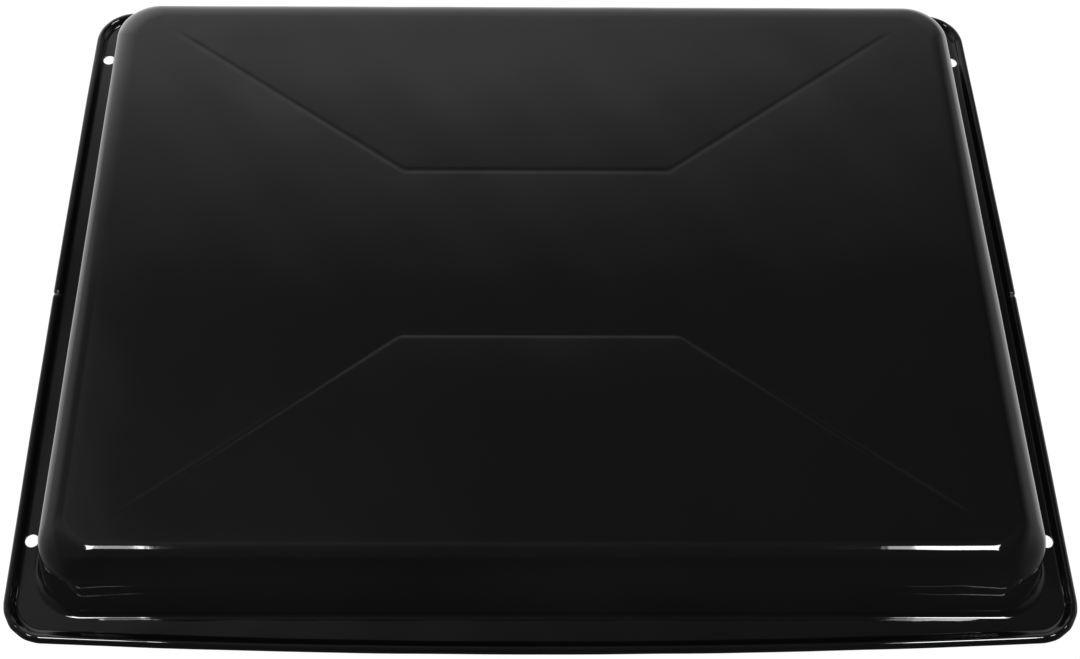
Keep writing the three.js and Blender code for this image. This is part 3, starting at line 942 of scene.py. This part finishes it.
def enamel():
    """Black vitreous enamel: deep gloss with fine orange peel and faint clouding."""
    n = Nodes("black_enamel")
    color = n.between(n.noise(scale=9), grey(0.0024), grey(0.0044))
    roughness = n.spread(n.noise(scale=40, detail=5), 0.02, 0.045)
    peel = n.bump(n.noise(scale=420, detail=2), distance=0.00001, strength=0.4)
    normal = n.bump(n.noise(scale=60, detail=2), distance=0.00004, strength=0.4, below=peel)
    return n.finish(color, roughness, normal)


def retainer_paint():
    """Satin black paint with a fine texture."""
    n = Nodes("satin_black_paint")
    color = n.between(n.noise(scale=60), grey(0.018), grey(0.03))
    roughness = n.spread(n.noise(scale=300, detail=4), 0.32, 0.5)
    normal = n.bump(n.noise(scale=1400, detail=3), distance=0.00004, strength=0.5)
    return n.finish(color, roughness, normal)


def zinc_wire():
    """Galvanised wire with dull spangle."""
    n = Nodes("galvanised_wire")
    color = n.between(n.cells(scale=260), grey(0.42), grey(0.6))
    roughness = n.spread(n.noise(scale=500, detail=3), 0.35, 0.55)
    normal = n.bump(n.noise(scale=900, detail=3), distance=0.00005, strength=0.5)
    return n.finish(color, roughness, normal, metallic=1.0)


def stainless_mesh():
    """Drawn stainless wire, unevenly bright."""
    n = Nodes("stainless_cloth")
    color = n.between(n.noise(scale=700), grey(0.5), grey(0.66))
    roughness = n.spread(n.noise(scale=1200, detail=2), 0.22, 0.38)
    normal = n.bump(n.noise(scale=2500, detail=2), distance=0.00001, strength=0.4)
    return n.finish(color, roughness, normal, metallic=1.0)


def aluminium():
    """Bare rivet aluminium with a light tarnish."""
    n = Nodes("rivet_aluminium_bare")
    color = n.between(n.noise(scale=500), (0.66, 0.67, 0.68), (0.78, 0.78, 0.79))
    roughness = n.spread(n.noise(scale=900, detail=4), 0.25, 0.45)
    normal = n.bump(n.noise(scale=1800, detail=3), distance=0.00002, strength=0.5)
    return n.finish(color, roughness, normal, metallic=1.0)


def foam():
    """Closed-cell sealing foam: matt, with fine pores whose pits are darkened with painted shade."""
    n = Nodes("closed_cell_foam")
    pores = n.cells(scale=1100)
    # painted shade: each pore's pit, where the bump is lowest, is coloured darker
    painted_pit_shade = n.spread(pores, 0, 1, from_low=0.05, from_high=0.6)
    color = n.between(painted_pit_shade, grey(0.010), grey(0.035))
    roughness = n.spread(n.noise(scale=200, detail=3), 0.85, 1.0)
    coarse = n.bump(n.noise(scale=160, detail=4), distance=0.0003, strength=0.5)
    normal = n.bump(pores, distance=0.0003, strength=0.8, below=coarse)
    return n.finish(color, roughness, normal)


def dress(obj, material, slot_name, *nodes):
    """Gives a piece its material and ties it to the CAD nodes that it stands for."""
    obj.data.materials.clear()
    obj.data.materials.append(material)
    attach(obj, "root")
    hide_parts(*nodes)


# ---- the object ----

dress(make_pan(), enamel(), "enamel", "cover_pan")
wire_finish = zinc_wire()
dress(make_rim_wire("rim_wire_front_drawn", False), wire_finish, "wire_steel", "rim_wire_front")
dress(make_rim_wire("rim_wire_rear_drawn", True), wire_finish, "wire_steel", "rim_wire_rear")
dress(make_screen(), stainless_mesh(), "screen_steel", "insect_screen")
dress(make_retainer(), retainer_paint(), "retainer_paint", "screen_retainer")
rivet_finish = aluminium()
for rivet_index in range(LOUVRE_COUNT + 1):
    dress(make_rivet(rivet_index), rivet_finish, "rivet_aluminium", f"screen_rivet_{rivet_index + 1}")
foam_finish = foam()
for strip_place in ("front", "rear", "left", "right"):
    strip = make_seal(f"seal_foam_{strip_place}", strip_place)
    dress(strip, foam_finish, "seal_foam", f"seal_strip_{strip_place}")

# ---- floor, backdrop and ceiling, in metres ----

FLOOR_CENTRE_R = 0.02
FLOOR_R = 4.0
SWEEP_R = 1.5
SWEEP_STEPS = 12
STAGE_SIDES = 96
BACKDROP_HEIGHT = 6.0
CEILING_REACH = 1.5 * (FLOOR_R + SWEEP_R)
STAGE_GLOW = 0.96
STAGE_GREY = 0.12


def stage_material():
    """A glowing white seen from inside the studio, and clear seen from outside it."""
    material = bpy.data.materials.new("studio_white")
    material.use_nodes = True
    tree = material.node_tree
    tree.nodes.clear()
    output = tree.nodes.new("ShaderNodeOutputMaterial")
    glow = tree.nodes.new("ShaderNodeEmission")
    glow.inputs["Strength"].default_value = STAGE_GLOW
    matt = tree.nodes.new("ShaderNodeBsdfDiffuse")
    matt.inputs["Color"].default_value = (*grey(STAGE_GREY), 1)
    both = tree.nodes.new("ShaderNodeAddShader")
    clear = tree.nodes.new("ShaderNodeBsdfTransparent")
    side = tree.nodes.new("ShaderNodeNewGeometry")
    pick = tree.nodes.new("ShaderNodeMixShader")
    tree.links.new(glow.outputs[0], both.inputs[0])
    tree.links.new(matt.outputs[0], both.inputs[1])
    tree.links.new(side.outputs["Backfacing"], pick.inputs[0])
    tree.links.new(both.outputs[0], pick.inputs[1])
    tree.links.new(clear.outputs[0], pick.inputs[2])
    tree.links.new(pick.outputs[0], output.inputs["Surface"])
    return material


def stage_object(name, points, faces, material):
    """A part of the studio, from points in metres, that gives no reflections."""
    mesh = bpy.data.meshes.new(name)
    mesh.from_pydata(points, [], faces)
    mesh.materials.append(material)
    obj = bpy.data.objects.new(name, mesh)
    bpy.context.scene.collection.objects.link(obj)
    obj.visible_glossy = False
    return obj


def make_floor(material):
    """A round white floor that sweeps up into a backdrop."""
    profile = [(FLOOR_CENTRE_R, 0.0), (FLOOR_R, 0.0)]
    for i in range(1, SWEEP_STEPS + 1):
        angle = math.radians(90 * i / SWEEP_STEPS)
        profile.append((FLOOR_R + SWEEP_R * math.sin(angle), SWEEP_R * (1 - math.cos(angle))))
    profile.append((FLOOR_R + SWEEP_R, BACKDROP_HEIGHT))
    points = [(0.0, 0.0, 0.0)]
    for radius, height in profile:
        points += circle(radius, height, STAGE_SIDES)
    faces = [tuple(1 + k for k in face) for face in ring_faces(len(profile), STAGE_SIDES)]
    faces += [(0, 1 + i, 1 + (i + 1) % STAGE_SIDES) for i in range(STAGE_SIDES)]
    floor = stage_object("studio_floor", points, faces, material)
    face_outwards(floor)
    floor.data.flip_normals()
    shade_smooth(floor, sharp_degrees=60)
    return floor


def make_ceiling(material):
    """A white lid over the backdrop that only the camera sees."""
    reach = CEILING_REACH
    corners = [(-reach, -reach), (-reach, reach), (reach, reach), (reach, -reach)]
    points = [(x, y, BACKDROP_HEIGHT) for x, y in corners]
    ceiling = stage_object("studio_ceiling", points, [(0, 1, 2, 3)], material)
    ceiling.visible_diffuse = False
    ceiling.visible_shadow = False
    ceiling.visible_transmission = False
    return ceiling


studio_white = stage_material()
floor = make_floor(studio_white)
ceiling = make_ceiling(studio_white)

# ---- studio light, as a surround of soft bright and dark fields ----

# Brightness against one component of the direction: y is towards the rear, z is up.
BEHIND = [
    (-1, 0.0), (-0.65, 0.01), (-0.4, 0.06), (-0.2, 0.07), (0.1, 0.12), (0.28, 0.17), (0.37, 0.09),
    (0.49, 0.105), (0.53, 0.175), (0.56, 0.26), (0.6, 0.42), (0.67, 0.8), (0.8, 1.0), (1, 1.0),
]
BEHIND_SLOPE = 1.1
BEHIND_LEAST = 0.3
BESIDE = [(0, 0), (0.5, 0.0), (0.7, 0.2), (0.85, 0.55), (1, 0.7)]
BESIDE_TO_REAR = [(-1, 0.2), (-0.4, 0.25), (0.0, 0.6), (0.3, 1.0), (1, 1.0)]
LOW_SKY = [(-1, 1.0), (-0.3, 1.0), (0.0, 0.35), (0.1, 0.0), (1, 0.0)]
LOW_SKY_TO_REAR = [(-1, 0.0), (0.0, 0.0), (0.35, 1.05), (1, 1.05)]

# The two softboxes: left limit, right limit and share of full brightness of each upright part.
SOFTBOX_PARTS = [
    (-0.31, -0.246, 1.0), (-0.246, -0.209, 0.25), (-0.2215, -0.2135, 0.7),
    (0.278, 0.362, 1.0), (0.257, 0.278, 0.3),
]
SOFTBOX_STRENGTH = 30.0
SOFTBOX_Y = 0.01
SOFTBOX_HALF_HEIGHT = 0.085
SOFTBOX_WIDENS_FROM = 0.25
SOFTBOX_WIDENING = 0.5
SOFTBOX_SIDE_BLUR = 0.003
SOFTBOX_END_BLUR = 0.2
HORIZON_BLUR = 0.02

FRONT_FILL_SIZE = (2.4, 0.5)
FRONT_FILL_POWER = 42.0
FRONT_FILL_AT = (0, -2.3, 0.3)
FRONT_FILL_TILT = math.radians(88)


class Sky:
    """The world's node tree, with short calls for arithmetic on its brightness."""

    def __init__(self, name):
        world = bpy.data.worlds.new(name)
        bpy.context.scene.world = world
        world.use_nodes = True
        self.tree = world.node_tree
        self.background = self.tree.nodes["Background"]
        direction = self.tree.nodes.new("ShaderNodeTexCoord").outputs["Generated"]
        split = self.tree.nodes.new("ShaderNodeSeparateXYZ")
        self.tree.links.new(direction, split.inputs[0])
        self.x, self.y, self.z = split.outputs

    def calculate(self, operation, *values):
        """A math node on numbers and other nodes' results."""
        node = self.tree.nodes.new("ShaderNodeMath")
        node.operation = operation
        for socket, value in zip(node.inputs, values):
            if isinstance(value, (int, float)):
                socket.default_value = value
            else:
                self.tree.links.new(value, socket)
        return node.outputs[0]

    def ramp(self, value, stops):
        """A smooth curve through the stops, each a place and the brightness there."""
        node = self.tree.nodes.new("ShaderNodeFloatCurve")
        curve = node.mapping.curves[0]
        node.mapping.use_clip = False
        low = stops[0][0]
        span = stops[-1][0] - low
        curve.points[0].location = (0, stops[0][1])
        curve.points[-1].location = (1, stops[-1][1])
        for place, height in stops[1:-1]:
            curve.points.new((place - low) / span, height)
        for point in curve.points:
            point.handle_type = "AUTO_CLAMPED"
        node.mapping.update()
        scaled = self.calculate("DIVIDE", self.calculate("SUBTRACT", value, low), span)
        self.tree.links.new(scaled, node.inputs["Value"])
        return node.outputs[0]

    def edge(self, value, place, blur, before, after):
        """A smooth step at a place, from one number to another."""
        node = self.tree.nodes.new("ShaderNodeMapRange")
        node.interpolation_type = "SMOOTHSTEP"
        node.inputs["From Min"].default_value = place - blur
        node.inputs["From Max"].default_value = place + blur
        node.inputs["To Min"].default_value = before
        node.inputs["To Max"].default_value = after
        self.tree.links.new(value, node.inputs["Value"])
        return node.outputs["Result"]

    def band(self, value, low, high, blur):
        """1 between two limits and 0 outside them, with blurred edges."""
        rise = self.edge(value, low, blur, 0, 1)
        fall = self.edge(value, high, blur, 1, 0)
        return self.calculate("MULTIPLY", rise, fall)

    def softboxes(self, sideways):
        """The two softboxes high in front, which grow taller towards the sides."""
        light = 0.0
        for low, high, share in SOFTBOX_PARTS:
            part = self.calculate("MULTIPLY", self.band(self.x, low, high, SOFTBOX_SIDE_BLUR), share)
            light = self.calculate("ADD", light, part)
        past = self.calculate("MAXIMUM", self.calculate("SUBTRACT", sideways, SOFTBOX_WIDENS_FROM), 0.0)
        wider = self.calculate("MULTIPLY", past, SOFTBOX_WIDENING)
        half_height = self.calculate("ADD", wider, SOFTBOX_HALF_HEIGHT)
        across = self.calculate("DIVIDE", self.calculate("SUBTRACT", self.y, SOFTBOX_Y), half_height)
        light = self.calculate("MULTIPLY", light, self.band(across, -1.0, 1.0, SOFTBOX_END_BLUR))
        light = self.calculate("MULTIPLY", light, self.band(self.z, 0, 2, HORIZON_BLUR))
        return self.calculate("MULTIPLY", light, SOFTBOX_STRENGTH)

    def patch(self, x_band, y_band, strength):
        """A soft rectangular patch of light; each band is its limits and its blur."""
        shape = self.calculate("MULTIPLY", self.band(self.x, *x_band), self.band(self.y, *y_band))
        return self.calculate("MULTIPLY", shape, strength)


def studio_world():
    """Bright behind and at the sides, dark overhead and in front, with two high front softboxes."""
    sky = Sky("studio")
    sideways = sky.calculate("ABSOLUTE", sky.x)
    to_the_left = sky.calculate("SUBTRACT", 1.0, sky.calculate("MULTIPLY", sky.x, BEHIND_SLOPE))
    left_gain = sky.calculate("MAXIMUM", to_the_left, BEHIND_LEAST)
    behind = sky.calculate("MULTIPLY", sky.ramp(sky.y, BEHIND), left_gain)
    beside = sky.calculate("MULTIPLY", sky.ramp(sideways, BESIDE), sky.ramp(sky.y, BESIDE_TO_REAR))
    low_sky = sky.calculate("MULTIPLY", sky.ramp(sky.z, LOW_SKY), sky.ramp(sky.y, LOW_SKY_TO_REAR))
    light = sky.calculate("MAXIMUM", sky.calculate("MAXIMUM", behind, beside), low_sky)
    left_fill = sky.patch(x_band=(-0.8, -0.1, 0.22), y_band=(0.15, 0.42, 0.1), strength=0.1)
    far_left = sky.patch(x_band=(-0.42, -0.25, 0.04), y_band=(0.30, 0.50, 0.06), strength=0.15)
    for part in (left_fill, far_left, sky.softboxes(sideways)):
        light = sky.calculate("ADD", light, part)
    sky.tree.links.new(light, sky.background.inputs["Strength"])
    sky.background.inputs["Color"].default_value = (1, 1, 1, 1)


def front_fill():
    """A soft light low in front that lifts the front wall and adds no highlight."""
    data = bpy.data.lights.new("front_fill", "AREA")
    data.shape = "RECTANGLE"
    data.size, data.size_y = FRONT_FILL_SIZE
    data.energy = FRONT_FILL_POWER
    light = bpy.data.objects.new("front_fill", data)
    bpy.context.scene.collection.objects.link(light)
    light.location = FRONT_FILL_AT
    light.rotation_euler = (FRONT_FILL_TILT, 0, 0)
    light.visible_glossy = False
    light.visible_camera = False


studio_world()
front_fill()

# ---- camera ----

CAMERA_AT = Vector((-0.03501, -0.49938, 0.82653))
CAMERA_FORWARD = Vector((0.00832, 0.49993, -0.86603))
CAMERA_UP = Vector((-0.0017, 0.86606, 0.49994))
FOCAL_SHARE = 1.39560  # focal length over the picture's width
SENSOR_WIDTH = 36
SHIFT_X = 0.0433
NEAR_LIMIT = 0.01

camera_data = bpy.data.cameras.new("camera")
camera_data.sensor_width = SENSOR_WIDTH
camera_data.lens = FOCAL_SHARE * SENSOR_WIDTH
camera_data.shift_x = SHIFT_X
camera_data.clip_start = NEAR_LIMIT
camera = bpy.data.objects.new("camera", camera_data)
bpy.context.scene.collection.objects.link(camera)
backwards = -CAMERA_FORWARD.normalized()
rightwards = CAMERA_UP.cross(backwards).normalized()
upwards = backwards.cross(rightwards)
turn = Matrix((rightwards, upwards, backwards)).transposed()
camera.matrix_world = Matrix.Translation(CAMERA_AT) @ turn.to_4x4()
bpy.context.scene.camera = camera
bpy.context.scene.view_settings.view_transform = "Standard"
